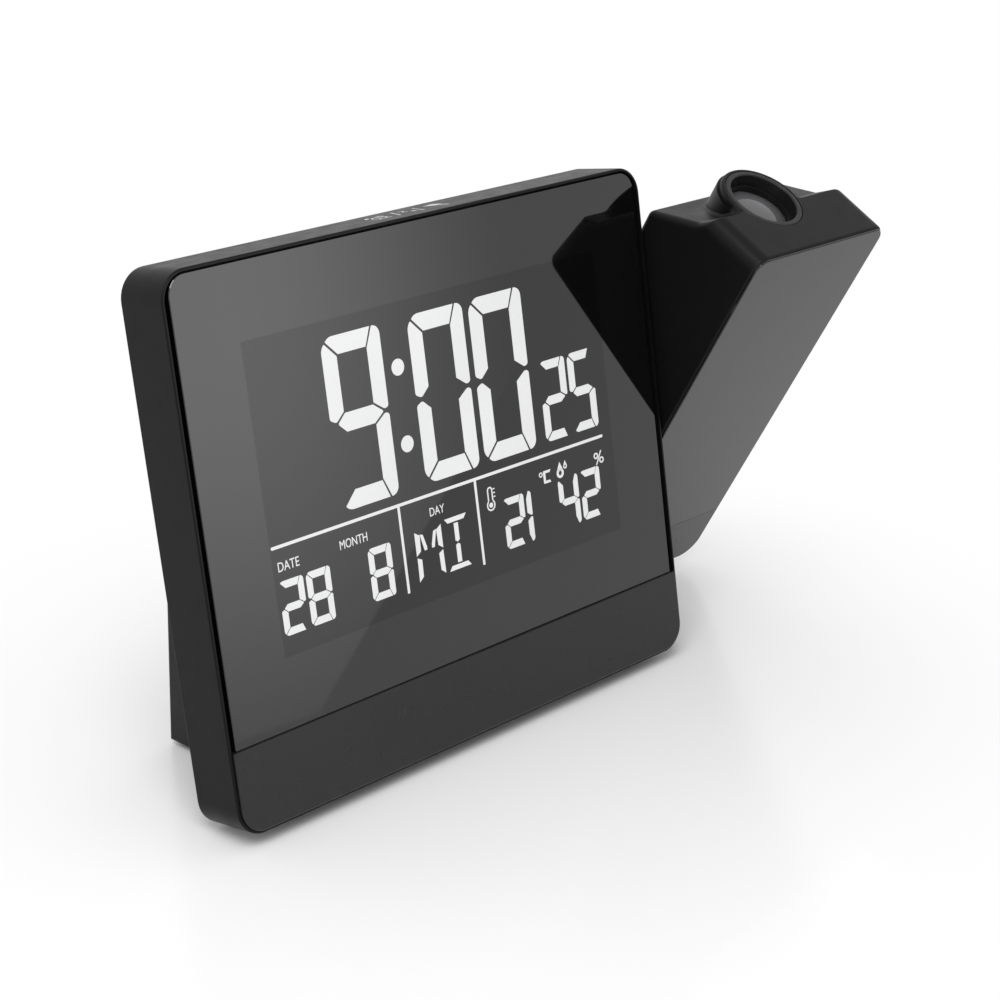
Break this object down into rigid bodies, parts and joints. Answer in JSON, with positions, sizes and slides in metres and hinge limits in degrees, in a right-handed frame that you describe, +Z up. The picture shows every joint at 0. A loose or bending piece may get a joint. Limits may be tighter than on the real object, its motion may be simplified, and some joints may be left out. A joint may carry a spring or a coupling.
{
  "type": "projection alarm clock",
  "caption": "Bedside alarm clock that leans back on a hollow foot, with a large dark display and a swinging projector arm with a focusing lens at its side.",
  "frame": {"origin": "on the table, under the middle of the whole clock's box, with the projector arm swung forward as it stands in use", "axes": "+X to the viewer's right along the pivot axis, +Y from the display to the back, +Z up; the display faces -Y and leans back"},
  "size_m": [0.1936, 0.0858, 0.1216],
  "materials": {
    "case_gloss": "glossy black moulded plastic",
    "case_matte": "finely textured black moulded plastic",
    "front_glass": "polished dark acrylic sheet",
    "display_glass": "dark display glass",
    "clear_plastic": "clear polished light guide",
    "white_plastic": "plain white",
    "circuit_board": "green solder mask",
    "chip_black": "moulded black",
    "steel": "plated",
    "copper": "bright copper",
    "ferrite": "sintered dark grey",
    "cell_jacket": "plain wrapped cell jacket",
    "contact_rubber": "soft dark elastomer",
    "wire_black": "soft wire jacket",
    "foot_rubber": "matte rubber",
    "key_plastic": "fine matte",
    "ring_black": "satin black",
    "lens_glass": "clear polished lens"
  },
  "bodies": {
    "clock_body": {"antenna_coil": "copper", "backlight_board": "circuit_board", "battery_cells": "cell_jacket", "battery_contacts": "steel", "board_chips": "chip_black", "board_leads": "wire_black", "buzzer": "chip_black", "cover_screws": "steel", "dc_jack": "chip_black", "display_glass": "display_glass", "ferrite_rod": "ferrite", "front_feet": "foot_rubber", "front_panel": "front_glass", "front_strip": "front_glass", "housing_frame": "case_gloss", "key_board": "circuit_board", "key_switches": "chip_black", "light_guide": "clear_plastic", "main_board": "circuit_board", "projector_plug": "white_plastic", "quartz_crystal": "steel", "rear_cover": "case_matte", "rear_feet": "foot_rubber", "reflector_tray": "white_plastic", "room_sensor": "chip_black", "socket_board": "circuit_board", "touch_strip": "copper", "usb_socket": "steel", "usb_tongue": "white_plastic", "zebra_strips": "contact_rubber"},
    "projector_arm": {"arm_shell": "case_gloss", "arm_panel": "front_glass", "arm_strip": "front_glass", "arm_rear_cover": "case_matte", "arm_screws": "steel", "pivot_barrel": "case_matte", "retaining_clip": "steel", "wave_washer": "steel", "friction_washer": "contact_rubber", "projector_lead": "wire_black", "lamp_plug": "white_plastic", "optics_tube": "ring_black", "projection_display": "display_glass", "condenser_lens": "lens_glass", "lamp_board": "circuit_board", "lamp_led": "white_plastic"},
    "focus_ring": {"focus_ring": "ring_black"},
    "lens_carriage": {"lens_holder": "ring_black", "projection_lens": "lens_glass"},
    "battery_door": {"battery_door": "case_matte"},
    "clock_key": {"clock_key": "key_plastic"},
    "alarm_key": {"alarm_key": "key_plastic"},
    "sensor_key": {"sensor_key": "key_plastic"},
    "light_key": {"light_key": "key_plastic"},
    "plus_key": {"plus_key": "key_plastic"},
    "minus_key": {"minus_key": "key_plastic"}
  },
  "joints": [
    {"name": "arm_swing", "type": "hinge", "parent": "clock_body", "child": "projector_arm", "pos_m": [0.046, -0.00153, 0.06027], "axis": [1, 0, 0], "range_deg": [-38.7, 51.3]},
    {"name": "focus_turn", "type": "hinge", "parent": "projector_arm", "child": "focus_ring", "pos_m": [0.0678, -0.02511, 0.10957], "axis": [0, -0.4964, 0.8681], "range_deg": [-60, 60]},
    {"name": "lens_travel", "type": "slide", "parent": "projector_arm", "child": "lens_carriage", "axis": [0, -0.4964, 0.8681], "range_m": [-0.001, 0.001]},
    {"name": "door_lift", "type": "slide", "parent": "clock_body", "child": "battery_door", "axis": [0, 0.9991, 0.042], "range_m": [0, 0.02]},
    {"name": "clock_key_press", "type": "slide", "parent": "clock_body", "child": "clock_key", "axis": [0, -0.9991, -0.042], "range_m": [0, 0.0008], "stiffness_N_per_m": 200, "springref_m": -0.003},
    {"name": "alarm_key_press", "type": "slide", "parent": "clock_body", "child": "alarm_key", "axis": [0, -0.9991, -0.042], "range_m": [0, 0.0008], "stiffness_N_per_m": 200, "springref_m": -0.003},
    {"name": "sensor_key_press", "type": "slide", "parent": "clock_body", "child": "sensor_key", "axis": [0, -0.9991, -0.042], "range_m": [0, 0.0008], "stiffness_N_per_m": 200, "springref_m": -0.003},
    {"name": "light_key_press", "type": "slide", "parent": "clock_body", "child": "light_key", "axis": [0, -0.9991, -0.042], "range_m": [0, 0.0008], "stiffness_N_per_m": 200, "springref_m": -0.003},
    {"name": "plus_key_press", "type": "slide", "parent": "clock_body", "child": "plus_key", "axis": [0, -0.9991, -0.042], "range_m": [0, 0.0008], "stiffness_N_per_m": 200, "springref_m": -0.003},
    {"name": "minus_key_press", "type": "slide", "parent": "clock_body", "child": "minus_key", "axis": [0, -0.9991, -0.042], "range_m": [0, 0.0008], "stiffness_N_per_m": 200, "springref_m": -0.003}
  ],
  "couplings": [
    {"joint": "focus_turn", "follows": "lens_travel", "rad_per_m": 1047.2}
  ]
}
